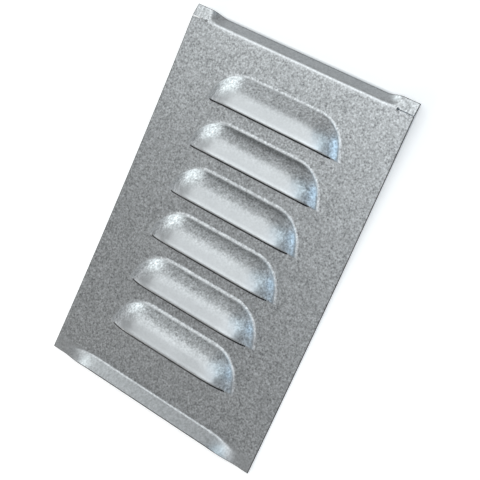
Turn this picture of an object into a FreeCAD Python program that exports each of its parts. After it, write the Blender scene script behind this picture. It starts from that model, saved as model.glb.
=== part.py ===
import FreeCAD, Part
import os
import re
import Sketcher
from math import cos, pi, radians, sin
from FreeCAD import Placement, Rotation, Vector

# A ventilation panel pressed from one piece of galvanised steel sheet, in millimetres.
#
# The sheet lies in the XY plane with its back face at z = 0 and its louvres standing
# up from the front face. X runs across the panel. y = 0 is the fold of the top strip,
# and the panel runs from there towards -Y. Each louvre is pressed between two forms:
# the outside form is the shape of the sheet's front face and the inside form, one
# sheet thickness further in, is the shape of its back face. The sheet is what lies
# between them. The finished panel is then laid on its back as it would come to rest.

SIZES = [
    ("sheet_width", 150, "side edge to side edge"),
    ("sheet_thickness", 0.75, "gauge of the steel"),
    ("louvre_count", 6, "louvres, one under the other"),
    ("louvre_pitch", 30, "from one louvre to the next"),
    ("louvre_root_width", 78, "width of a louvre along its hinge line"),
    ("louvre_mouth_width", 93, "width of a louvre along its sheared lip"),
    ("louvre_depth", 21.9, "hinge line to shear line"),
    ("louvre_mouth_height", 9, "shear line to lip, along the opening"),
    ("louvre_lip_lean", 10, "degrees, how far the opening leans back"),
    ("louvre_wall_slope", 36, "degrees, rise of the rear wall"),
    ("louvre_end_slope", 29, "degrees, rise of the ends"),
    ("louvre_roof_slope", 12, "degrees, rise of the roof towards the lip"),
    ("louvre_corner_radius", 22, "rear corners, front face"),
    ("louvre_crest_radius", 14, "roof to walls, front face"),
    ("louvre_root_radius", 1.75, "walls to the flat sheet, front face"),
    ("bay_lead", 4, "flat sheet of a bay behind its louvre's hinge line"),
    ("top_margin", 18.8, "top fold to the first hinge line"),
    ("bottom_margin", 35, "last shear line to the bottom edge"),
    ("fold_run", 2, "length of sheet that a fold bends"),
    ("top_strip_width", 8.2, "from the top fold to the top edge"),
    ("top_strip_angle", 50, "degrees, bent back"),
    ("tab_width", 10, "corner tab at each end of the top strip"),
    ("tab_angle", 15, "degrees, bent back"),
    ("tab_twist_width", 10, "where the strip twists into the tab"),
    ("slit_width", 0.5, "slit between the tab and the sheet"),
    ("slit_offset", 0.5, "slit above the top fold"),
    ("relief_diameter", 1.8, "hole at the slit's end"),
    ("bottom_strip_width", 10, "from the bottom fold to the bottom edge"),
    ("bottom_strip_angle", 40, "degrees, bent forward"),
    ("bottom_corner_width", 8, "corner that stays flat"),
    ("bottom_fade_width", 22, "where the bottom fold fades out"),
    ("bottom_fade_rise", 2, "strip is this much narrower where its fold ends"),
]
NAMES = [name for name, value, note in SIZES]

CLEAR = 5            # how far a cutting form runs past the sheet
FORM_HEIGHT = 11     # height of a louvre form before its roof is cut


# ---- the sheet of sizes, and what is bound to it ----

def fill_sheet(doc):
    """Write each driving size as a plain number with an alias and a note."""
    sheet = doc.addObject("Spreadsheet::Sheet", "Sizes")
    for row, (name, value, note) in enumerate(SIZES, start=1):
        sheet.set("A%d" % row, name)
        sheet.set("B%d" % row, str(value))
        sheet.set("C%d" % row, note)
        sheet.setAlias("B%d" % row, name)
    doc.recompute()
    return sheet


def formula(text):
    """Put the sheet's name in front of each size in a formula."""
    return re.sub(r"[a-z_]+", lambda word: "Sizes." + word[0] if word[0] in NAMES else word[0], text)


def number(thing, text):
    """What a formula comes to now."""
    return float(thing.evalExpression(formula(text)))


def bind(thing, prop, text):
    """Tie a property to the sheet."""
    thing.setExpression(prop, formula(text))


# ---- sketches ----

def origin_feature(body, role):
    """One of the body's own planes or axes."""
    return [item for item in body.Origin.OriginFeatures if item.Role == role][0]


def new_sketch(body, name, role, height="0"):
    """A sketch on one of the body's own planes, moved along that plane's normal."""
    sketch = body.newObject("Sketcher::SketchObject", name)
    sketch.AttachmentSupport = [(origin_feature(body, role), "")]
    sketch.MapMode = "FlatFace"
    bind(sketch, "AttachmentOffset.Base.z", height)
    return sketch


def dimension(sketch, name, kind, refs, text):
    """A named dimension whose value is a formula."""
    value = number(sketch, text)
    if kind == "Angle":
        value = radians(value)
    index = sketch.addConstraint(Sketcher.Constraint(kind, *refs, value))
    sketch.renameConstraint(index, name)
    bind(sketch, "Constraints." + name, text)


def draw_polygon(sketch, points):
    """A closed outline of straight lines; line n starts at point n."""
    corners = [Vector(x, y, 0) for x, y in points]
    for start, end in zip(corners, corners[1:] + corners[:1]):
        sketch.addGeometry(Part.LineSegment(start, end))
    for line in range(len(corners)):
        following = (line + 1) % len(corners)
        sketch.addConstraint(Sketcher.Constraint("Coincident", line, 2, following, 1))


def place_point(sketch, name, line, x, y):
    """Dimension the start of a line from the sketch's origin."""
    for axis, kind, text in (("x", "DistanceX", x), ("y", "DistanceY", y)):
        dimension(sketch, name + "_" + axis, kind, (-1, 1, line, 1), text)


def draw_outline(sketch, corners):
    """A closed outline whose corners are all formulas, each a name, an x and a y."""
    draw_polygon(sketch, [(number(sketch, x), number(sketch, y)) for name, x, y in corners])
    for line, (name, x, y) in enumerate(corners):
        place_point(sketch, name, line, x, y)


def pad(body, sketch, length, midplane=False):
    """Push a sketch out along its normal."""
    feature = body.newObject("PartDesign::Pad", sketch.Name + "_pad")
    feature.Profile = sketch
    feature.SideType = "Symmetric" if midplane else "One side"
    bind(feature, "Length", length)
    body.Document.recompute()
    return feature


def pocket(body, sketch, length):
    """Cut a sketch out of the body, half to each side of the sketch."""
    before = body.Shape.Volume
    feature = body.newObject("PartDesign::Pocket", sketch.Name + "_cut")
    feature.Profile = sketch
    feature.SideType = "Symmetric"
    bind(feature, "Length", length)
    body.Document.recompute()
    if not feature.Shape.Volume < before:
        raise RuntimeError(feature.Name + " cuts nothing")
    return feature


def round_edges(body, name, radius, wanted):
    """Fillet the edges that a test picks out of the body's last feature."""
    base = body.Tip
    picked = ["Edge%d" % n for n, edge in enumerate(base.Shape.Edges, start=1) if wanted(edge)]
    feature = body.newObject("PartDesign::Fillet", name)
    feature.Base = (base, picked)
    bind(feature, "Radius", radius)
    body.Document.recompute()
    return feature


# ---- a louvre ----

# Each of these is a formula whose {skin} is how far the form lies inside the front face.
LEVEL = "(sheet_thickness - ({skin}))"
HINGE = "(top_margin + ({skin}) * tan(louvre_wall_slope / 2))"
SHEAR = "(top_margin + louvre_depth + ({skin}) * tan(louvre_lip_lean))"
MOUTH = ("(louvre_mouth_height + ({skin}) / cos(louvre_lip_lean)"
         " - ({skin}) / cos(louvre_lip_lean - louvre_roof_slope))")
SPLAY = "((louvre_mouth_width - louvre_root_width) / 2 / louvre_depth)"
ROOT = (f"(louvre_root_width / 2 + ({{skin}}) * (tan(louvre_wall_slope / 2) * {SPLAY}"
        f" - tan(louvre_end_slope / 2) * sqrt(1 + {SPLAY} ^ 2)))")
NEAR = 0.001         # two places are one place
UPRIGHT = 0.8        # a normal whose part along an axis is more than this faces along it


def draw_plan(body, skin):
    """The louvre's outline on the flat sheet, drawn on past its shear line."""
    hinge = HINGE.format(skin=skin)
    root = ROOT.format(skin=skin)
    reach = "(2 * louvre_depth)"
    sketch = new_sketch(body, body.Name + "_plan", "XY_Plane", LEVEL.format(skin=skin))
    draw_outline(sketch, [
        ("hinge_left", f"-{root}", f"-{hinge}"),
        ("front_left", f"-{root} - {reach} * {SPLAY}", f"-{hinge} - {reach}"),
        ("front_right", f"{root} + {reach} * {SPLAY}", f"-{hinge} - {reach}"),
        ("hinge_right", root, f"-{hinge}"),
    ])
    return sketch


def lean_in(body, name, block, faces, angle):
    """Lean some of the block's walls inwards from their feet."""
    foot = [n for n, face in enumerate(block.Shape.Faces, start=1) if face.normalAt(0, 0).z < -UPRIGHT]
    feature = body.newObject("PartDesign::Draft", body.Name + name)
    feature.Base = (block, ["Face%d" % n for n in faces])
    feature.NeutralPlane = (block, ["Face%d" % foot[0]])
    bind(feature, "Angle", f"90 - {angle}")
    body.Document.recompute()
    return feature


def slope_walls(body, block):
    """Give the rear wall of the block its slope and the two ends theirs."""
    def facing(solid, wanted):
        return [n for n, face in enumerate(solid.Shape.Faces, start=1) if wanted(face.normalAt(0, 0))]

    rear = lean_in(body, "_rear", block, facing(block, lambda out: out.y > UPRIGHT), "louvre_wall_slope")
    return lean_in(body, "_ends", rear, facing(rear, lambda out: abs(out.x) > UPRIGHT), "louvre_end_slope")


def draw_roof_cut(body, skin):
    """What the roof and the lip leave out, seen from the side."""
    sketch = new_sketch(body, body.Name + "_roof", "YZ_Plane")
    slope = radians(number(sketch, "louvre_roof_slope"))
    lean = radians(number(sketch, "louvre_lip_lean"))
    mouth = number(sketch, MOUTH.format(skin=skin))
    back = number(sketch, "louvre_depth")
    shear = Vector(-number(sketch, SHEAR.format(skin=skin)), number(sketch, LEVEL.format(skin=skin)), 0)
    lip = shear + Vector(sin(lean), cos(lean), 0) * mouth
    rear = lip + Vector(cos(slope), -sin(slope), 0) * (back + CLEAR)
    far = shear.x - 2 * back
    top = shear.y + FORM_HEIGHT + CLEAR
    draw_polygon(sketch, [(at.x, at.y) for at in (shear, lip, rear, Vector(rear.x, top, 0),
                                                  Vector(far, top, 0), Vector(far, shear.y, 0))])
    place_point(sketch, "shear", 0, "-" + SHEAR.format(skin=skin), LEVEL.format(skin=skin))
    dimension(sketch, "mouth", "Distance", (0,), MOUTH.format(skin=skin))
    dimension(sketch, "lip_angle", "Angle", (0,), "90 - louvre_lip_lean")
    dimension(sketch, "roof_angle", "Angle", (1,), "-louvre_roof_slope")
    dimension(sketch, "roof_run", "Distance", (1,), "louvre_depth + %g" % CLEAR)
    for line, way in ((2, "Vertical"), (3, "Horizontal"), (4, "Vertical"), (5, "Horizontal")):
        sketch.addConstraint(Sketcher.Constraint(way, line))
    place_point(sketch, "far_top", 4, f"-{SHEAR} - 2 * louvre_depth".format(skin=skin),
                f"{LEVEL} + {FORM_HEIGHT + CLEAR}".format(skin=skin))
    return sketch


def draw_bay(body, skin):
    """The strip of flat sheet that one louvre stands on."""
    sketch = new_sketch(body, body.Name + "_flat", "XY_Plane", LEVEL.format(skin=skin))
    rear = "-(top_margin - bay_lead)"
    front = "-(top_margin - bay_lead + louvre_pitch)"
    draw_outline(sketch, [
        ("rear_left", "-sheet_width / 2", rear),
        ("front_left", "-sheet_width / 2", front),
        ("front_right", "sheet_width / 2", front),
        ("rear_right", "sheet_width / 2", rear),
    ])
    return sketch


def louvre_form(doc, name, skin):
    """The solid form that shapes one face of a louvre and of the flat sheet round it."""
    body = doc.addObject("PartDesign::Body", name)
    level = number(body, LEVEL.format(skin=skin))
    hinge = -number(body, HINGE.format(skin=skin))
    shear = -number(body, SHEAR.format(skin=skin))
    roof_slope = radians(number(body, "louvre_roof_slope"))
    lean = radians(number(body, "louvre_lip_lean"))

    def between_walls(edge):
        ends = [vertex.Point for vertex in edge.Vertexes]
        rises = abs(ends[0].z - ends[-1].z) > NEAR
        return rises and any(abs(end.y - hinge) < NEAR and abs(end.z - level) < NEAR for end in ends)

    def in_lip(point):
        return abs(point.y - shear - (point.z - level) * sin(lean) / cos(lean)) < NEAR

    def round_roof(edge):
        roof = [face for face in body.Tip.Shape.Faces if abs(face.normalAt(0, 0).z - cos(roof_slope)) < NEAR]
        borders = any(edge.isSame(side) for side in roof[0].Edges)
        return borders and not all(in_lip(vertex.Point) for vertex in edge.Vertexes)

    def at_foot(edge):
        middle = edge.valueAt((edge.FirstParameter + edge.LastParameter) / 2)
        points = [middle] + [vertex.Point for vertex in edge.Vertexes]
        flat = all(abs(point.z - level) < NEAR for point in points)
        louvre = all(shear - NEAR < point.y < hinge + NEAR for point in points)
        return flat and louvre and not in_lip(middle)

    block = pad(body, draw_plan(body, skin), "%g" % FORM_HEIGHT)
    slope_walls(body, block)
    round_edges(body, name + "_corners", f"louvre_corner_radius - ({skin})", between_walls)
    pocket(body, draw_roof_cut(body, skin), "2 * louvre_mouth_width")
    round_edges(body, name + "_crest", f"louvre_crest_radius - ({skin})", round_roof)
    ground = pad(body, draw_bay(body, skin), "%g" % CLEAR)
    ground.Reversed = True
    doc.recompute()
    round_edges(body, name + "_root", f"louvre_root_radius + ({skin})", at_foot)
    return body


def press_bay(doc):
    """One louvre and the flat sheet round it: what lies between the two forms."""
    bay = doc.addObject("Part::Cut", "bay")
    bay.Base = louvre_form(doc, "outside", "0")
    bay.Tool = louvre_form(doc, "inside", "sheet_thickness")
    doc.recompute()
    return bay


# ---- the folded strips ----

STATIONS = 3         # cuts through a stretch where a fold changes, after its first


def constrain_fold(sketch, turn):
    """Hold the lines and arcs of a fold together; turn is 1 where its arcs run anticlockwise."""
    near, far = (1, 2) if turn > 0 else (2, 1)
    for flat, arc, strip in ((0, 1, 2), (3, 4, 5)):
        sketch.addConstraint(Sketcher.Constraint("Tangent", flat, 2, arc, near))
        sketch.addConstraint(Sketcher.Constraint("Tangent", arc, far, strip, 1))
        sketch.addConstraint(Sketcher.Constraint("Horizontal", flat))
        sketch.addConstraint(Sketcher.Constraint("Perpendicular", strip, 6))
    for refs in ((2, 2, 6, 1), (5, 2, 6, 2), (0, 1, 7, 1), (3, 1, 7, 2), (1, 3, 4, 3)):
        sketch.addConstraint(Sketcher.Constraint("Coincident", *refs))
    sketch.addConstraint(Sketcher.Constraint("Vertical", 7))


def draw_fold(body, name, across, root, fold, width, angle, side, way):
    """A cut through the flat sheet and its folded strip, square to the fold.

    The strip lies on one side of the fold (1 for +Y, -1 for -Y) and is bent one way
    (1 forward, -1 back). The fold is an arc in both faces, about one centre, and is
    fold_run long at mid-thickness.
    """
    sketch = new_sketch(body, name, "YZ_Plane", across)
    radius = f"(fold_run * 180 / {pi} / ({angle}))"
    sweep = radians(number(sketch, angle))
    start = number(sketch, fold)
    thickness = number(sketch, "sheet_thickness")
    middle = number(sketch, radius)
    centre = Vector(start, thickness / 2 + way * middle, 0)
    run = Vector(side * cos(sweep), way * sin(sweep), 0) * number(sketch, f"({width}) - fold_run")

    def face(reach, level):
        flat, bend, strip = [centre + Vector(side * reach * sin(turn), -way * reach * cos(turn), 0)
                             for turn in (0, sweep / 2, sweep)]
        return [Part.LineSegment(Vector(number(sketch, root), level, 0), flat),
                Part.Arc(flat, bend, strip), Part.LineSegment(strip, strip + run)]

    back = face(middle + way * thickness / 2, 0)
    front = face(middle - way * thickness / 2, thickness)
    tip = Part.LineSegment(back[2].EndPoint, front[2].EndPoint)
    rear = Part.LineSegment(back[0].StartPoint, front[0].StartPoint)
    for piece in back + front + [tip, rear]:
        sketch.addGeometry(piece)
    constrain_fold(sketch, side * way)
    place_point(sketch, "root", 0, root, "0")
    dimension(sketch, "fold", "DistanceX", (-1, 1, 0, 2), fold)
    dimension(sketch, "radius", "Radius", (1,), f"{radius} + ({way}) * sheet_thickness / 2")
    dimension(sketch, "run", "Distance", (2,), f"({width}) - fold_run")
    dimension(sketch, "thickness", "Distance", (7,), "sheet_thickness")
    angle_text = angle if side > 0 else f"180 - ({angle})"
    dimension(sketch, "sweep", "Angle", (2,), f"({way}) * ({angle_text})")
    return sketch


def draw_unfolded(body, name, across, root, fold, width, side):
    """The same cut where the sheet stays flat."""
    sketch = new_sketch(body, name, "YZ_Plane", across)
    stops = (("root", root), ("fold", fold), ("run", f"{fold} + ({side}) * fold_run"),
             ("edge", f"{fold} + ({side}) * ({width})"))
    back = [(f"back_{stop}", y, "0") for stop, y in stops]
    front = [(f"front_{stop}", y, "sheet_thickness") for stop, y in reversed(stops)]
    draw_outline(sketch, back + front)
    return sketch


def fade(station):
    """How far a fold has changed at a station: 0 at the first, 1 at the last, level at both."""
    share = station / STATIONS
    return share * share * (3 - 2 * share)


def twist_and_mirror(body, name, sections, corner_width):
    """Loft through the sections, run the last one out to the side edge, and mirror both."""
    twist = body.newObject("PartDesign::AdditiveLoft", name + "_twist")
    twist.Profile = sections[0]
    twist.Sections = sections[1:]
    body.Document.recompute()
    corner = pad(body, sections[-1], corner_width)
    mirror = body.newObject("PartDesign::Mirrored", name + "_mirror")
    mirror.Originals = [twist, corner]
    mirror.MirrorPlane = (origin_feature(body, "YZ_Plane"), [""])
    body.Tip = mirror
    body.Document.recompute()


def add_top_strip(body):
    """The strip along the top edge, bent back, and the corner tabs it twists into."""
    root = "-(top_margin - bay_lead)"
    half = "(sheet_width / 2 - tab_width - tab_twist_width)"
    middle = draw_fold(body, "top_strip", "0", root, "0", "top_strip_width", "top_strip_angle", 1, -1)
    pad(body, middle, f"2 * {half}", midplane=True)
    sections = []
    for station in range(STATIONS + 1):
        across = f"{half} + {station} / {STATIONS} * tab_twist_width"
        angle = f"top_strip_angle + {fade(station)} * (tab_angle - top_strip_angle)"
        sections.append(draw_fold(body, f"tab_{station}", across, root, "0", "top_strip_width",
                                  angle, 1, -1))
    twist_and_mirror(body, "tab", sections, "tab_width")


def add_bottom_strip(body):
    """The strip along the bottom edge, bent forward, whose fold fades before the corners."""
    root = "-(top_margin - bay_lead + louvre_count * louvre_pitch)"
    edge = "-(top_margin + (louvre_count - 1) * louvre_pitch + louvre_depth + bottom_margin)"
    half = "(sheet_width / 2 - bottom_corner_width - bottom_fade_width)"
    middle = draw_fold(body, "bottom_strip", "0", root, f"{edge} + bottom_strip_width",
                       "bottom_strip_width", "bottom_strip_angle", -1, 1)
    pad(body, middle, f"2 * {half}", midplane=True)
    sections = []
    for station in range(STATIONS + 1):
        across = f"{half} + {station} / {STATIONS} * bottom_fade_width"
        width = f"(bottom_strip_width - {fade(station)} * bottom_fade_rise)"
        place = (body, f"corner_{station}", across, root, f"{edge} + {width}", width)
        if station < STATIONS:
            sections.append(draw_fold(*place, f"bottom_strip_angle * {1 - fade(station)}", -1, 1))
        else:
            sections.append(draw_unfolded(*place, -1))
    twist_and_mirror(body, "corner", sections, "bottom_corner_width")


def cut_slits(body):
    """Free each corner tab from the sheet with a slit that ends in a round hole."""
    sketch = new_sketch(body, "slit", "XY_Plane")
    radius = number(sketch, "relief_diameter / 2")
    half = number(sketch, "slit_width / 2")
    centre = Vector(number(sketch, "sheet_width / 2 - tab_width"), number(sketch, "slit_offset"), 0)
    meet = centre.x + (radius ** 2 - half ** 2) ** 0.5
    end = number(sketch, "sheet_width / 2 + relief_diameter")
    upper, lower = centre.y + half, centre.y - half
    sketch.addGeometry(Part.Arc(Vector(meet, upper, 0), centre - Vector(radius, 0, 0),
                                Vector(meet, lower, 0)))
    corners = [Vector(meet, lower, 0), Vector(end, lower, 0), Vector(end, upper, 0),
               Vector(meet, upper, 0)]
    for here, there in zip(corners, corners[1:]):
        sketch.addGeometry(Part.LineSegment(here, there))
    for refs in ((0, 2, 1, 1), (1, 2, 2, 1), (2, 2, 3, 1), (3, 2, 0, 1)):
        sketch.addConstraint(Sketcher.Constraint("Coincident", *refs))
    for way, line in (("Horizontal", 1), ("Vertical", 2), ("Horizontal", 3)):
        sketch.addConstraint(Sketcher.Constraint(way, line))
    dimension(sketch, "hole_x", "DistanceX", (-1, 1, 0, 3), "sheet_width / 2 - tab_width")
    dimension(sketch, "hole_y", "DistanceY", (-1, 1, 0, 3), "slit_offset")
    dimension(sketch, "hole_radius", "Radius", (0,), "relief_diameter / 2")
    dimension(sketch, "end", "DistanceX", (-1, 1, 1, 2), "sheet_width / 2 + relief_diameter")
    dimension(sketch, "lower", "DistanceY", (-1, 1, 1, 2), "slit_offset - slit_width / 2")
    dimension(sketch, "upper", "DistanceY", (-1, 1, 2, 2), "slit_offset + slit_width / 2")
    slit = pocket(body, sketch, "2 * top_strip_width")
    mirror = body.newObject("PartDesign::Mirrored", "slit_mirror")
    mirror.Originals = [slit]
    mirror.MirrorPlane = (origin_feature(body, "YZ_Plane"), [""])
    body.Tip = mirror
    body.Document.recompute()


# ---- the panel ----

def repeat_bay(body):
    """The louvres, one under the other."""
    row = body.newObject("PartDesign::LinearPattern", "louvres")
    row.TransformMode = "Whole shape"
    row.Direction = (origin_feature(body, "Y_Axis"), [""])
    row.Reversed = True
    bind(row, "Length", "(louvre_count - 1) * louvre_pitch")
    bind(row, "Occurrences", "louvre_count")
    body.Tip = row
    body.Document.recompute()


def build_panel(doc):
    """The whole sheet, on its back as it would come to rest."""
    panel = doc.addObject("PartDesign::Body", "louvred_panel")
    panel.Label = "louvred_panel"
    panel.BaseFeature = press_bay(doc)
    doc.recompute()
    repeat_bay(panel)
    add_top_strip(panel)
    add_bottom_strip(panel)
    cut_slits(panel)
    return panel


def lay_down(panel):
    """Tip the panel onto the edge of its top strip and its bottom corners, over the origin."""
    bend = f"(fold_run * 180 / {pi} / top_strip_angle - sheet_thickness / 2)"
    strip = "(top_strip_width - fold_run)"
    drop = f"({bend} * (1 - cos(top_strip_angle)) + {strip} * sin(top_strip_angle))"
    reach = f"({bend} * sin(top_strip_angle) + {strip} * cos(top_strip_angle))"
    length = "(top_margin + (louvre_count - 1) * louvre_pitch + louvre_depth + bottom_margin)"
    tip = number(panel, f"atan({drop} / ({length} + {reach}))")
    panel.Placement = Placement(Vector(0, 0, 0), Rotation(Vector(1, 0, 0), tip))
    box = panel.Shape.optimalBoundingBox(True)
    panel.Placement.Base = Vector(-box.Center.x, -box.Center.y, -box.ZMin)


def check(doc, parts):
    """Stop if anything in the document failed or a part is not one valid solid."""
    doc.recompute()
    failed = [thing.Name for thing in doc.Objects if {"Invalid", "Error"} & set(thing.State)]
    for part in parts:
        shape = part.Shape
        if shape.isNull() or not shape.isValid() or len(shape.Solids) != 1:
            failed.append(part.Name)
    if failed:
        raise RuntimeError("failed: " + ", ".join(failed))


document = FreeCAD.newDocument("louvred_panel")
fill_sheet(document)
louvred_panel = build_panel(document)
lay_down(louvred_panel)
check(document, [louvred_panel])
os.makedirs("parts", exist_ok=True)
louvred_panel.Shape.exportStep("parts/" + louvred_panel.Label + ".step")
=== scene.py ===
from math import atan, cos, pi, radians, sin, sqrt, tan

import bmesh
import bpy
import numpy as np
from mathutils import Matrix, Vector


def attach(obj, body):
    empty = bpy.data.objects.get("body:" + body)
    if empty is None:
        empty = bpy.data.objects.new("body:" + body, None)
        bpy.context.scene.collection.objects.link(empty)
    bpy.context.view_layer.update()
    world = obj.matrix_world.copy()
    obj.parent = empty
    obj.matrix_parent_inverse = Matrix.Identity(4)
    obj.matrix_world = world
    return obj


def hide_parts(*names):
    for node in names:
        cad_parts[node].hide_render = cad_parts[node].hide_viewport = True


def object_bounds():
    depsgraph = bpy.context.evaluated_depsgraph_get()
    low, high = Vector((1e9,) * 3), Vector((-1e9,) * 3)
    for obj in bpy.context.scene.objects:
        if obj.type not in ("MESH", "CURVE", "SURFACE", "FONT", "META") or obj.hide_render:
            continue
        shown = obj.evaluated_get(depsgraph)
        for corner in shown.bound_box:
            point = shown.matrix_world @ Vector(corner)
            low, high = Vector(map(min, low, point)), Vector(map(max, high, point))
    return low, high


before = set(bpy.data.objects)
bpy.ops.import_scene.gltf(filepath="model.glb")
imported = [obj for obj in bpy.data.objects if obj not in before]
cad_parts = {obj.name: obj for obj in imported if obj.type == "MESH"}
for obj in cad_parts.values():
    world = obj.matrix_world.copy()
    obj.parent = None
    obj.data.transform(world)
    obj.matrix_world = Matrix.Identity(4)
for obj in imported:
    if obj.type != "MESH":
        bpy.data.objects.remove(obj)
cad_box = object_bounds()

MM = 0.001


# ---- Galvanised finish ----
# The sheet is hot-dipped in zinc and skin-passed, which leaves it matt grey with a fine,
# crystalline grain. Where the louvres are drawn up the tool has rubbed the grain smooth.
# A painted highlight brightens the roof just behind each lip and the top crease, and
# painted shade darkens the folded-back top strip. Where the sheet is cut its edge is bare
# steel, coloured near-black as painted shade for the dark line under each lip and along the edges.

zinc_grey = (0.48, 0.497, 0.51)
zinc_roughness = (0.37, 0.33)
zinc_grain = 1.05 * MM
grain_relief = 0.015 * MM
grain_contrast = 2.2
drawn_contrast = 0.25
zinc_cloud = 34 * MM
cloud_bright = (0.96, 1.04)
# How much the painted highlight brightens the zinc behind each lip and along the top crease.
highlight_bright = 1.4
# How much painted shade darkens the zinc on the folded-back top strip.
fold_shade_bright = 0.7
# Near-black edge colour: painted shade for the dark line under each lip and the dark outline of the sheet's
# edges.
edge_shade_colour = (0.03, 0.03, 0.032)
edge_shade_roughness = 0.6
edge_streak_size = 0.8 * MM
streak_bright = (0.7, 1.3)
noise_middle = (0.3, 0.7)


def link(tree, source, target):
    """Join an output to an input."""
    tree.links.new(source, target)


def node(tree, kind, **settings):
    """A new node with its settings."""
    made = tree.nodes.new(kind)
    for name, value in settings.items():
        setattr(made, name, value)
    return made


def noise(tree, place, size, detail, seed):
    """Soft noise whose blotches are about this size, as a number from 0 to 1."""
    made = node(tree, "ShaderNodeTexNoise", noise_dimensions="4D")
    made.inputs["Scale"].default_value = 1 / size
    made.inputs["Detail"].default_value = detail
    made.inputs["W"].default_value = seed
    link(tree, place, made.inputs["Vector"])
    return made.outputs["Fac"]


def spread(tree, value, low, high, to_low, to_high):
    """Stretch part of a value's range over another range."""
    made = node(tree, "ShaderNodeMapRange", clamp=True)
    for name, number in (("From Min", low), ("From Max", high), ("To Min", to_low), ("To Max", to_high)):
        made.inputs[name].default_value = number
    link(tree, value, made.inputs["Value"])
    return made.outputs["Result"]


def arithmetic(tree, operation, first, second):
    """A sum, product or other operation on two values."""
    made = node(tree, "ShaderNodeMath", operation=operation)
    for socket, value in zip(made.inputs, (first, second)):
        if isinstance(value, (int, float)):
            socket.default_value = value
        else:
            link(tree, value, socket)
    return made.outputs[0]


def new_material(name):
    """A new material, its tree and its shader."""
    material = bpy.data.materials.new(name)
    material.use_nodes = True
    return material, material.node_tree, material.node_tree.nodes["Principled BSDF"]


def shade(tree, colour, bright, socket):
    """Send a colour, scaled by how bright it is at each place, to a socket."""
    scaled = node(tree, "ShaderNodeVectorMath", operation="SCALE")
    scaled.inputs[0].default_value = colour
    link(tree, bright, scaled.inputs["Scale"])
    link(tree, scaled.outputs[0], socket)


def galvanised():
    """Matt zinc with darker and lighter crystals, which fade where the sheet is drawn, with a painted
    highlight behind the lips and on the top crease and painted shade on the folded-back strip.
    """
    material, tree, shader = new_material("galvanised_sheet")
    shader.inputs["Metallic"].default_value = 1.0
    place = node(tree, "ShaderNodeTexCoord").outputs["Object"]
    # The "folded" mark carries painted shade for the folded-back top strip.
    drawn, painted_highlight, fold_shade = (node(tree, "ShaderNodeAttribute", attribute_name=name).outputs["Fac"]
                                for name in ("drawn", "painted_highlight", "folded"))
    grain = noise(tree, place, zinc_grain, detail=1.5, seed=3.1)
    cloud = noise(tree, place, zinc_cloud, detail=3.0, seed=7.7)
    contrast = spread(tree, drawn, 0, 1, grain_contrast, drawn_contrast)
    crystals = arithmetic(tree, "MULTIPLY", arithmetic(tree, "SUBTRACT", grain, 0.5), contrast)
    # The painted highlight brightens the zinc and the painted shade on the folded-back strip darkens it;
    # the cloud varies its tone at random.
    cloud_and_painted_light = arithmetic(tree, "MULTIPLY", spread(tree, painted_highlight, 0, 1, 1, highlight_bright),
                      spread(tree, fold_shade, 0, 1, 1, fold_shade_bright))
    cloud_and_painted_light = arithmetic(tree, "MULTIPLY", spread(tree, cloud, *noise_middle, *cloud_bright), cloud_and_painted_light)
    bright = arithmetic(tree, "MULTIPLY", arithmetic(tree, "ADD", crystals, 1), cloud_and_painted_light)
    shade(tree, zinc_grey, bright, shader.inputs["Base Color"])
    link(tree, spread(tree, cloud, *noise_middle, *zinc_roughness), shader.inputs["Roughness"])
    bump = node(tree, "ShaderNodeBump")
    bump.inputs["Strength"].default_value = 1.0
    bump.inputs["Distance"].default_value = grain_relief
    link(tree, crystals, bump.inputs["Height"])
    link(tree, bump.outputs["Normal"], shader.inputs["Normal"])
    return material


def edge_shade_material():
    """Near-black streaked metal for the cut edges: bare steel, darkened as painted shade for the dark line
    under each lip and along the edges.
    """
    material, tree, shader = new_material("dark_edge_shade")
    shader.inputs["Metallic"].default_value = 1.0
    shader.inputs["Roughness"].default_value = edge_shade_roughness
    place = node(tree, "ShaderNodeTexCoord").outputs["Object"]
    streaks = noise(tree, place, edge_streak_size, detail=2.0, seed=5.3)
    streaks = spread(tree, streaks, *noise_middle, *streak_bright)
    shade(tree, edge_shade_colour, streaks, shader.inputs["Base Color"])
    return material


zinc = galvanised()
edge_shade = edge_shade_material()


# ---- Louvre bay ----
# One louvre and the band of flat sheet round it. The louvre is sheared along one edge and
# stretched up from the sheet in a single stroke, so it has a steep rear wall that fans
# round into the two ends, a gently sloping roof and an open mouth under its lip.

sheet_width = 150 * MM
sheet_thickness = 0.75 * MM
top_margin = 18.8 * MM
louvre_pitch = 30 * MM
bay_lead = 4 * MM
root_half = 39 * MM
mouth_half = 46.5 * MM
louvre_depth = 21.9 * MM
mouth_height = 9 * MM
lip_lean = radians(10)
wall_slope = radians(36)
end_slope = radians(29)
roof_slope = radians(12)
corner_radius = 22 * MM
crest_blend = 1.8 * MM
end_bulge = 1.5 * MM
lip_roll_run = 1.2 * MM
lip_roll_drop = 0.7 * MM
lip_spread = 0.75 * MM
# How far back from each lip the painted edge shade reaches.
lip_shade_band = 1.1 * MM
lip_full_height = 5 * MM
lip_least = 0.05
root_blend = 1.0 * MM
root_inset = 0.4 * MM
side_lean = atan((mouth_half - root_half) / louvre_depth)
corner_centre = root_half - corner_radius * (1 - sin(side_lean)) / cos(side_lean)
# Width of the band along the sheet's edges that gets the painted edge shade.
edge_shade_band = 0.3 * MM
tab_hole = 65 * MM
hole_chord = 0.64 * MM
hole_cell = 1.3 * MM

# Where the rows and columns of the sheet's mesh lie closer together.
middle_columns = 8
side_from = 4 * MM
side_close = 1.2 * MM
side_near = 16 * MM
border_from = 55 * MM
root_above = 2 * MM
root_below = 1.6 * MM
wall_below = 13 * MM
lip_rows = 8
shear_close = 0.1
flat_below = 0.03 * MM


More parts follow.
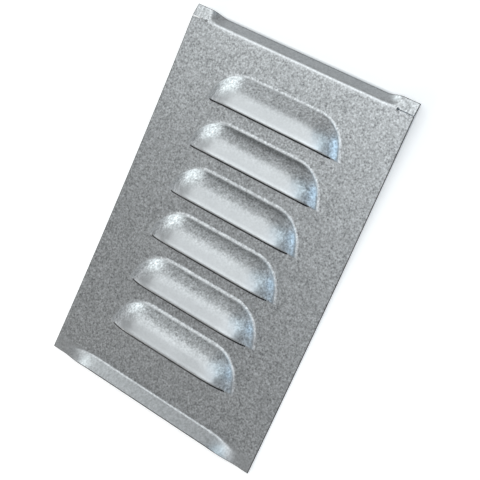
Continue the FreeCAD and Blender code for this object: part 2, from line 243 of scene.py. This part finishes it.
def spaced(*stretches):
    """Places along a line, from stretches that each have a start, an end and a number of steps."""
    places = [stretches[0][0]]
    for start, end, steps in stretches:
        places += [start + (end - start) * step / steps for step in range(1, steps + 1)]
    return np.array(places)


def eased(share):
    """0 to 1, level at both ends."""
    share = np.clip(share, 0, 1)
    return share * share * (3 - 2 * share)


def blend(first, second, reach):
    """The lower of two heights, rounded where they cross."""
    overlap = np.clip(reach - np.abs(first - second), 0, None) / reach
    return np.minimum(first, second) - overlap * overlap * reach / 4


def louvre_height(x, down):
    """How far the sheet's front face is raised at a place, down being the way from the hinge line."""
    x = np.abs(x)
    turn = np.arctan2(x - corner_centre, corner_radius - down)
    full_turn = pi / 2 - side_lean
    to_corner = corner_radius - np.hypot(x - corner_centre, corner_radius - down)
    to_side = (root_half - x) * cos(side_lean) + down * sin(side_lean)
    inward = np.where(turn <= 0, down, np.where(turn < full_turn, to_corner, to_side)) - root_inset
    share = eased(turn / full_turn)
    wall = inward * (tan(wall_slope) + (tan(end_slope) - tan(wall_slope)) * share)
    lip_down = louvre_depth - mouth_height * sin(lip_lean)
    roof = mouth_height * cos(lip_lean) - (lip_down - down) * tan(roof_slope)
    wall = wall + end_bulge * share * np.sin(pi * np.clip(wall / roof, 0, 1))
    return -blend(-blend(wall, roof, crest_blend), 0 * x, root_blend)


def side_at(down):
    """Half the louvre's width on the flat sheet, so far below its hinge line."""
    below = min(max(down, side_from), louvre_depth)
    straight = corner_radius * (1 - sin(side_lean))
    if below < straight:
        return corner_centre + sqrt(corner_radius ** 2 - (corner_radius - below) ** 2)
    return root_half + below * tan(side_lean)


def columns(side):
    """Places across the sheet, closer together by a louvre's side and by a tab's hole."""
    near = spaced((side_near, side_close, 14), (side_close, -side_close, 12))
    first = side_at(0) + side_close
    border = sheet_width / 2 - edge_shade_band
    hole = [tab_hole + off for off in (-hole_cell, -hole_chord, 0, hole_chord, hole_cell)]
    outer = np.concatenate([spaced((first, border_from, 4), (border_from, hole[0], 3))[1:], hole[1:],
                            spaced((hole[-1], border, 3))[1:], [sheet_width / 2]])
    stretch = (border - side - side_close) / (border - first)
    outer = np.where(outer > border, outer, side + side_close + (outer - first) * stretch)
    middle = (side - near[0]) * np.arange(middle_columns) / middle_columns
    half = np.concatenate([middle, side - near, outer])
    return np.concatenate([-half[:0:-1], half])


def grid(name, rows, missing=(), dark_row=None):
    """A mesh of quads through rows of points, some cells left open and one row given the near-black edge
    material, which is painted shade.
    """
    rows = np.array(rows)
    tall, wide = rows.shape[:2]
    faces = [(r * wide + c, (r + 1) * wide + c, (r + 1) * wide + c + 1, r * wide + c + 1)
             for r in range(tall - 1) for c in range(wide - 1) if (r, c) not in missing]
    mesh = bpy.data.meshes.new(name)
    mesh.from_pydata(rows.reshape(-1, 3).tolist(), [], faces)
    if dark_row is not None:
        for face in mesh.polygons:
            face.material_index = int(face.vertices[0] // wide == dark_row % (tall - 1))
    return mesh


def points(x, y, z):
    """Rows of points from their three parts."""
    return np.stack(np.broadcast_arrays(x, y, z), axis=-1)


def joined(name, meshes, seam=0.001 * MM):
    """One mesh from several, welded where they meet."""
    work = bmesh.new()
    for mesh in meshes:
        work.from_mesh(mesh)
    bmesh.ops.remove_doubles(work, verts=work.verts[:], dist=seam)
    loose = [point for point in work.verts if not point.link_faces]
    bmesh.ops.delete(work, geom=loose, context="VERTS")
    mesh = bpy.data.meshes.new(name)
    work.to_mesh(mesh)
    work.free()
    return mesh


def louvre_rows():
    """Rows of points from the top of a bay to the lip of its louvre."""
    levels = list(spaced((-bay_lead, -root_above, 2), (-root_above, root_below, 16),
                         (root_below, wall_below, 17), (wall_below, louvre_depth - lip_roll_run, 6)))[:-1]
    levels += [louvre_depth - lip_roll_run * (1 - cos(pi / 2 * (1 - row / lip_rows)))
               for row in range(lip_rows + 1)]
    rows = []
    for down in levels:
        x = columns(side_at(down))
        # The lip leans back as it rises, so its place is found in a few steps.
        lip = np.full_like(x, louvre_depth)
        for attempt in range(6):
            lip = louvre_depth - louvre_height(x, lip) * tan(lip_lean)
        lean = np.clip((down - louvre_depth / 2) / (louvre_depth / 2), 0, 1)
        at = down - lean * (louvre_depth - lip)
        height = louvre_height(x, at)
        raised = np.clip(height / lip_full_height, lip_least, 1)
        before_lip = np.clip((lip - at) / (lip_roll_run * raised), 0, 1)
        height = height - lip_roll_drop * raised * (1 - np.sqrt(1 - (1 - before_lip) ** 2))
        at = at + lip_spread * raised * (1 - before_lip) ** 2
        shut = height < flat_below
        rows.append(points(x, -np.where(shut, down, at), np.where(shut, 0, height)))
    return rows


def flat_rows():
    """Rows of points from the shear line to the bottom of the bay."""
    rows = []
    for share in spaced((0, shear_close, 1), (shear_close, 1, 4)):
        side = side_at(louvre_depth) + share * (side_at(0) - side_at(louvre_depth))
        down = louvre_depth + share * (louvre_pitch - bay_lead - louvre_depth)
        rows.append(points(columns(side), -down, 0))
    return rows


bay = joined("louvre_bay", [grid("louvre", louvre_rows()), grid("below_louvre", flat_rows())])


# ---- Row of louvres ----
# The same tool strikes the sheet once for each louvre and the sheet is fed on by one pitch
# between strokes, so the bays are alike. Here one bay is set out along the feed.

louvre_count = 6


def feed_tree():
    """Set the bay out along the sheet and weld the bays into one sheet."""
    tree = bpy.data.node_groups.new("louvre_feed", "GeometryNodeTree")
    side = tree.interface
    side.new_socket("Bay", in_out="INPUT", socket_type="NodeSocketGeometry")
    side.new_socket("Louvres", in_out="INPUT", socket_type="NodeSocketInt")
    side.new_socket("Pitch", in_out="INPUT", socket_type="NodeSocketFloat")
    side.new_socket("First hinge", in_out="INPUT", socket_type="NodeSocketFloat")
    side.new_socket("Sheet", in_out="OUTPUT", socket_type="NodeSocketGeometry")
    given = node(tree, "NodeGroupInput")
    start = node(tree, "ShaderNodeCombineXYZ")
    step = node(tree, "ShaderNodeCombineXYZ")
    for name, place in (("First hinge", start), ("Pitch", step)):
        back = node(tree, "ShaderNodeMath", operation="MULTIPLY")
        back.inputs[1].default_value = -1
        link(tree, given.outputs[name], back.inputs[0])
        link(tree, back.outputs[0], place.inputs["Y"])
    line = node(tree, "GeometryNodeMeshLine", mode="OFFSET")
    link(tree, given.outputs["Louvres"], line.inputs["Count"])
    link(tree, start.outputs[0], line.inputs["Start Location"])
    link(tree, step.outputs[0], line.inputs["Offset"])
    strokes = node(tree, "GeometryNodeInstanceOnPoints")
    link(tree, line.outputs["Mesh"], strokes.inputs["Points"])
    link(tree, given.outputs["Bay"], strokes.inputs["Instance"])
    realised = node(tree, "GeometryNodeRealizeInstances")
    link(tree, strokes.outputs["Instances"], realised.inputs["Geometry"])
    finish = node(tree, "GeometryNodeSetMaterial")
    finish.inputs["Material"].default_value = zinc
    link(tree, realised.outputs["Geometry"], finish.inputs["Geometry"])
    result = node(tree, "NodeGroupOutput")
    link(tree, finish.outputs["Geometry"], result.inputs["Sheet"])
    return tree


def plain(thing, name):
    """The mesh that an object's modifiers make, with the modifiers taken off."""
    bpy.context.view_layer.update()
    graph = bpy.context.evaluated_depsgraph_get()
    mesh = bpy.data.meshes.new_from_object(thing.evaluated_get(graph))
    mesh.name = name
    thing.modifiers.clear()
    return mesh


louvres = bpy.data.objects.new("louvre_row", bay)
bpy.context.scene.collection.objects.link(louvres)
feed = louvres.modifiers.new("feed", "NODES")
feed.node_group = feed_tree()
feed_sizes = {"Louvres": louvre_count, "Pitch": louvre_pitch, "First hinge": top_margin}
for socket in feed.node_group.interface.items_tree:
    if socket.name in feed_sizes:
        feed[socket.identifier] = feed_sizes[socket.name]
louvre_row = plain(louvres, "louvre_row")
louvre_row.materials.clear()  # the whole sheet gets its materials once it is joined
bpy.data.objects.remove(louvres)


# ---- Top strip and corner tabs ----
# The top edge is folded back to hook behind a frame. A slit with a round relief hole frees
# each corner, which stays nearly flat as a tab, and the strip twists from one to the other.

fold_run = 2 * MM
top_strip_width = 8.2 * MM
top_strip_angle = radians(50)
tab_angle = radians(15)
tab_width = 10 * MM
tab_twist_width = 10 * MM
least_fold = radians(0.05)
slit_offset = 0.5 * MM
slit_half = 0.25 * MM
slit_above = 3 * MM
hole_radius = 0.9 * MM


def folded(along, angle, way):
    """How far out and up a strip reaches, so far along it from the start of its fold."""
    angle = np.maximum(angle, least_fold)
    radius = fold_run / angle - way * sheet_thickness / 2
    turn = angle * np.clip(along / fold_run, 0, 1)
    past = np.clip(along - fold_run, 0, None)
    out = np.where(along < 0, along, radius * np.sin(turn) + past * np.cos(angle))
    up = np.where(along < 0, 0, radius * (1 - np.cos(turn)) + past * np.sin(angle))
    return out, way * up


def top_strip():
    """The flat sheet above the louvres, the folded strip and its two tabs."""
    slit = [slit_offset + off
            for off in (-hole_cell, -hole_chord, -slit_half, slit_half, hole_chord, hole_cell)]
    edge = top_strip_width - edge_shade_band
    along = np.concatenate([spaced((bay_lead - top_margin, -slit_above, 4), (-slit_above, slit[0], 2))[:-1],
                            slit, spaced((slit[-1], fold_run, 2), (fold_run, edge, 8),
                                         (edge, top_strip_width, 1))[1:]])
    x = columns(side_at(0))
    hole = [np.argmin(abs(abs(x) - tab_hole) + (np.sign(x) != way)) for way in (-1, 1)]
    slit_row = int(np.argmin(abs(along - slit[2])))
    across, along = np.meshgrid(x, along)
    # The hole's rim, as steps from the slit's lower row and the hole's column, and as a place.
    rim = sqrt(hole_radius ** 2 - slit_half ** 2)
    hole_rim = [(-1, 0, 0, -hole_radius), (2, 0, 0, hole_radius),
                (0, -1, -rim, -slit_half), (1, -1, -rim, slit_half),
                (0, 1, rim, -slit_half), (1, 1, rim, slit_half)]
    missing = set()
    for way, centre in zip((-1, 1), hole):
        for row, column, rim_x, rim_y in hole_rim:
            across[slit_row + row, centre + column] = way * tab_hole + rim_x
            along[slit_row + row, centre + column] = slit_offset + rim_y
        missing |= {(slit_row + row, centre + column) for row in (-1, 0, 1) for column in (-1, 0)}
        outside = range(centre + 1, len(x) - 1) if way > 0 else range(0, centre - 1)
        missing |= {(slit_row, column) for column in outside}
    strip_half = sheet_width / 2 - tab_width - tab_twist_width
    twist = eased((np.abs(across) - strip_half) / tab_twist_width)
    out, up = folded(along, top_strip_angle + twist * (tab_angle - top_strip_angle), -1)
    last_row = along.shape[0] - 2
    return grid("top_strip", points(across, out, up)[::-1],
                {(last_row - row, column) for row, column in missing}, dark_row=0)


# ---- Bottom strip ----
# The bottom edge is folded forward to stiffen it. The fold runs out before the corners,
# which stay flat, so the strip narrows and flattens at its two ends.

bottom_margin = 35 * MM
bottom_strip_width = 10 * MM
bottom_strip_angle = radians(40)
bottom_corner_width = 8 * MM
bottom_fade_width = 22 * MM
bottom_fade_rise = 2 * MM
fold_close = 0.15
sheet_foot = top_margin + (louvre_count - 1) * louvre_pitch + louvre_depth + bottom_margin


def bottom_strip():
    """The flat sheet below the louvres and the folded strip."""
    x = columns(side_at(0))
    fade_start = sheet_width / 2 - bottom_corner_width - bottom_fade_width
    fade = eased((np.abs(x) - fade_start) / bottom_fade_width)
    width = bottom_strip_width - fade * bottom_fade_rise
    start = top_margin - bay_lead + louvre_count * louvre_pitch
    flat = sheet_foot - width - start
    rows = [points(x, -(start + flat * (1 + share)), 0)
            for share in spaced((-1, -fold_close, 5), (-fold_close, 0, 2))]
    past_fold = width - edge_shade_band - fold_run
    to_edge = 1 + edge_shade_band / (bottom_strip_width - fold_run)
    in_fold = [share * fold_run + 0 * x for share in spaced((0, 1, 8))[1:]]
    in_strip = [fold_run + share * past_fold for share in spaced((0, 1, 8), (1, to_edge, 1))[1:]]
    for along in in_fold + in_strip:
        out, up = folded(along, bottom_strip_angle * (1 - fade), 1)
        rows.append(points(x, -(start + flat + out), up))
    return grid("bottom_strip", rows, dark_row=-1)


# ---- The finished panel ----
# The sheet bellies back a little between its ends, as a thin pressing does once its louvres
# have stretched it. It lies on the edge of its top strip and on its two bottom corners.

belly = 2.25 * MM
drawn_from = 4 * MM
drawn_full = 8 * MM
root_half_height = 0.45 * MM
root_smooth = 0.7
lip_from = 3 * MM
lip_full = 6 * MM
# Where the painted highlight lies behind each lip and along the top crease, and how wide it is.
lip_highlight_behind = 2.1 * MM
lip_highlight_half = 1.3 * MM
crease_highlight_middle = 0.2 * MM
crease_highlight_half = 1.6 * MM
top_fold_lead = 1.2 * MM
top_fold_smooth = 0.75
foot_fold_lead = 1 * MM
foot_fold_smooth = 0.6


def rest_angle():
    """How far the sheet is tipped when it lies on its top strip's edge and its bottom corners."""
    out, up = folded(np.array([top_strip_width]), top_strip_angle, -1)
    out = out[0] - sheet_thickness * sin(top_strip_angle)
    down = -up[0] - sheet_thickness * (1 - cos(top_strip_angle))
    return atan(down / (sheet_foot + out))


def coordinates(elements, name):
    """The x, y and z of a mesh's vertices, or of the centres of its faces."""
    place = np.zeros(len(elements) * 3)
    elements.foreach_get(name, place)
    return place.reshape(-1, 3).T


def belly_at(y):
    """How far the sheet is let down between its ends."""
    middle = 2 * y / sheet_foot + 1
    return belly * (1 - middle * middle)


def on_bay(y, z):
    """A place's height over the flat sheet, its way back from a lip, and whether it's in a bay."""
    height = z - sheet_thickness + belly_at(y)
    down = (-y - top_margin + bay_lead) % louvre_pitch - bay_lead
    behind_lip = louvre_depth + lip_spread - height * tan(lip_lean) - down
    return height, behind_lip, (y < -top_margin) & (y > bottom_margin - sheet_foot)


def shape_sheet(mesh):
    """Stand the sheet on the back of its flat part, and belly it."""
    x, y, z = coordinates(mesh.vertices, "co")
    mesh.vertices.foreach_set("co", points(x, y, z + sheet_thickness - belly_at(y)).ravel())
    mesh.update()


def note_finish(mesh):
    """Mark, from 0 to 1, where the sheet is drawn up, where a painted highlight lies behind each lip and
    along the top crease, and where painted shade darkens the folded-back strip.
    """
    x, y, z = coordinates(mesh.vertices, "co")
    height, behind_lip, in_bay = on_bay(y, z)
    before_tab = eased((tab_hole - np.abs(x)) / tab_twist_width)
    hood = eased((height - drawn_from) / (drawn_full - drawn_from))
    root = root_smooth * np.clip(1 - np.abs(height - root_half_height) / root_half_height, 0, 1)
    top_fold = top_fold_smooth * eased((y + top_fold_lead) / top_fold_lead) * before_tab
    foot_fold = foot_fold_smooth * eased((bottom_strip_width - sheet_foot - y) / foot_fold_lead)
    # A painted highlight on the roof just behind each lip.
    lip_highlight = np.clip(1 - np.abs(behind_lip - lip_highlight_behind) / lip_highlight_half, 0, 1)
    lip_highlight = lip_highlight * eased((height - lip_from) / (lip_full - lip_from))
    # A painted highlight along the top crease, widening the crease's own gleam.
    crease_highlight = np.clip(1 - np.abs(y - crease_highlight_middle) / crease_highlight_half, 0, 1) * before_tab
    marks = {"drawn": np.where(in_bay, np.maximum(hood, root), np.maximum(top_fold, foot_fold)),
             "painted_highlight": np.where(in_bay, lip_highlight, crease_highlight),
             # Painted shade: the folded-back top strip is darkened as a whole.
             "folded": eased((y - fold_run / 2) / (fold_run / 2)) * before_tab}
    for name, share in marks.items():
        mesh.attributes.new(name, "FLOAT", "POINT").data.foreach_set("value", share)


def shade_edges(mesh):
    """Give the lips and the sides the near-black edge material: the cut there is bare steel, and its
    darkness is painted shade for the dark line under each lip and along the edges.
    """
    x, y, z = coordinates(mesh.polygons, "center")
    height, behind_lip, in_bay = on_bay(y, z)
    at_lip = in_bay & (height > lip_from) & (behind_lip < lip_shade_band)
    finish = np.zeros(len(mesh.polygons), dtype=np.int32)
    mesh.polygons.foreach_get("material_index", finish)
    finish[at_lip | (np.abs(x) > sheet_width / 2 - edge_shade_band)] = 1
    mesh.polygons.foreach_set("material_index", finish)


def lay_down(mesh):
    """Tip the panel onto its back, with the middle of its footprint at the origin."""
    mesh.transform(Matrix.Rotation(rest_angle(), 4, "X"))
    low = np.min([point.co for point in mesh.vertices], axis=0)
    high = np.max([point.co for point in mesh.vertices], axis=0)
    mesh.transform(Matrix.Translation((0, -(low[1] + high[1]) / 2, -low[2])))


def crisp(mesh, angle):
    """Shade smoothly, with the edges that are sharper than the angle kept crisp."""
    work = bmesh.new()
    work.from_mesh(mesh)
    for face in work.faces:
        face.smooth = True
    for edge in work.edges:
        edge.smooth = len(edge.link_faces) == 2 and edge.calc_face_angle() < angle
    work.to_mesh(mesh)
    work.free()


panel_mesh = joined("louvred_panel_sheet", [top_strip(), louvre_row, bottom_strip()])
shape_sheet(panel_mesh)
panel_mesh.materials.append(zinc)
panel_mesh.materials.append(edge_shade)
panel = bpy.data.objects.new("galvanised_panel", panel_mesh)
bpy.context.scene.collection.objects.link(panel)
gauge = panel.modifiers.new("gauge", "SOLIDIFY")
gauge.thickness = sheet_thickness
gauge.offset = -1
gauge.use_even_offset = True
# The cut faces of the sheet get the near-black edge material, which is painted shade.
gauge.material_offset_rim = 1
panel.data = plain(panel, "galvanised_panel")
note_finish(panel.data)
shade_edges(panel.data)
lay_down(panel.data)
crisp(panel.data, radians(45))
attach(panel, "root")
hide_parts("louvred_panel")


# ---- Studio ----
# The panel lies on a sweep of white paper: a flat floor that curves up into a low wall all
# round. A large key light stands beyond its left edge, with weaker ones overhead and at the
# right, three low ones light the louvres' ends, and the open ceiling gives a plain soft light.

sweep_profile = [(0, 0), (2.4, 0), (2.7, 0.04), (2.92, 0.17), (3.0, 0.4), (3.0, 1.9)]
sweep_sides = 64
paper_grey = 0.8
paper_lift = 0.45
lift_from = 2 * MM
lift_full = 0.5 * MM
ceiling_light = 0.3
lamp_distance = 1.2

sweep_work = bmesh.new()
sweep_line = [sweep_work.verts.new((out, 0, up)) for out, up in sweep_profile]
sweep_edges = [sweep_work.edges.new(pair) for pair in zip(sweep_line, sweep_line[1:])]
bmesh.ops.spin(sweep_work, geom=sweep_line + sweep_edges, cent=(0, 0, 0), axis=(0, 0, 1),
               angle=2 * pi, steps=sweep_sides)
bmesh.ops.remove_doubles(sweep_work, verts=sweep_work.verts[:], dist=0.1 * MM)
bmesh.ops.recalc_face_normals(sweep_work, faces=sweep_work.faces[:])
if sum(face.normal.z for face in sweep_work.faces) < 0:
    bmesh.ops.reverse_faces(sweep_work, faces=sweep_work.faces[:])
sweep_mesh = bpy.data.meshes.new("paper_sweep")
sweep_work.to_mesh(sweep_mesh)
sweep_work.free()
sweep = bpy.data.objects.new("paper_sweep", sweep_mesh)
bpy.context.scene.collection.objects.link(sweep)


def white_paper():
    """Matt paper, lifted to white for the camera and for metal that mirrors it."""
    material, tree, shader = new_material("white_paper")
    shader.inputs["Base Color"].default_value = (paper_grey, paper_grey, paper_grey, 1)
    shader.inputs["Roughness"].default_value = 1.0
    shader.inputs["Specular IOR Level"].default_value = 0
    shader.inputs["Emission Color"].default_value = (1, 1, 1, 1)
    path = node(tree, "ShaderNodeLightPath")
    seen = arithmetic(tree, "MAXIMUM", path.outputs["Is Camera Ray"], path.outputs["Is Glossy Ray"])
    seen = arithmetic(tree, "MAXIMUM", seen, path.outputs["Is Transmission Ray"])
    # The paper under the panel, seen through its slits and holes, stays in shadow.
    place = node(tree, "ShaderNodeSeparateXYZ")
    link(tree, node(tree, "ShaderNodeTexCoord").outputs["Object"], place.inputs[0])
    beside = []
    for axis, half in (("X", cad_box[1][0]), ("Y", cad_box[1][1])):
        off = arithmetic(tree, "ABSOLUTE", place.outputs[axis], 0)
        beside.append(spread(tree, off, half - lift_from, half - lift_full, 0, 1))
    lift = arithmetic(tree, "MULTIPLY", arithmetic(tree, "MAXIMUM", *beside), paper_lift)
    link(tree, arithmetic(tree, "MULTIPLY", seen, lift), shader.inputs["Emission Strength"])
    return material


sweep_mesh.materials.append(white_paper())

world = bpy.data.worlds.new("studio")
world.use_nodes = True
world.node_tree.nodes["Background"].inputs["Color"].default_value = (1, 1, 1, 1)
world.node_tree.nodes["Background"].inputs["Strength"].default_value = ceiling_light
bpy.context.scene.world = world


def soft_light(name, height, side, size, power, colour):
    """A round light at a height and a side, in degrees, turned to the panel."""
    lamp = bpy.data.lights.new(name, "AREA")
    lamp.shape = "DISK"
    lamp.size = size
    lamp.energy = power
    lamp.color = colour
    height, side = radians(height), radians(side)
    away = Vector((cos(height) * cos(side), cos(height) * sin(side), sin(height)))
    thing = bpy.data.objects.new(name, lamp)
    thing.location = away * lamp_distance
    thing.rotation_euler = away.to_track_quat("Z", "Y").to_euler()
    bpy.context.scene.collection.objects.link(thing)


soft_light("key", 61, 141, 1.0, 3.1, (0.97, 1, 1))
soft_light("overhead", 85, 0, 0.7, 1.3, (0.96, 0.98, 1))
soft_light("right", 62, 45, 0.7, 1.6, (0.72, 0.9, 1))
soft_light("low_right", 14, 25, 0.8, 3.8, (0.45, 0.74, 1))
soft_light("low_left", 14, 146, 0.8, 2.6, (0.92, 1, 1))
soft_light("low_near", 14, 240, 0.8, 8.0, (1, 0.97, 0.92))


# ---- Camera ----
# The camera looks down on the panel from its right, rolled so that the panel stands upright
# and leans a little, with the frame shifted to hold all of it.

camera_place = Vector((0.22188, 0.11677, 0.53591))
camera_azimuth = radians(20.744)
camera_elevation = radians(65.934)
camera_roll = radians(84.698)
camera_data = bpy.data.cameras.new("camera")
camera_data.lens = 74.95
camera_data.sensor_width = 36
camera_data.shift_x = -0.00909
camera_data.shift_y = -0.1161
camera = bpy.data.objects.new("camera", camera_data)
backward = Vector((cos(camera_elevation) * cos(camera_azimuth),
                   cos(camera_elevation) * sin(camera_azimuth), sin(camera_elevation)))
level = Vector((-sin(camera_azimuth), cos(camera_azimuth), 0))
upward = backward.cross(level) * cos(camera_roll) + level * sin(camera_roll)
axes = Matrix((upward.cross(backward), upward, backward)).transposed()
camera.matrix_world = Matrix.Translation(camera_place) @ axes.to_4x4()
bpy.context.scene.collection.objects.link(camera)
bpy.context.scene.camera = camera
bpy.context.scene.view_settings.view_transform = "Standard"
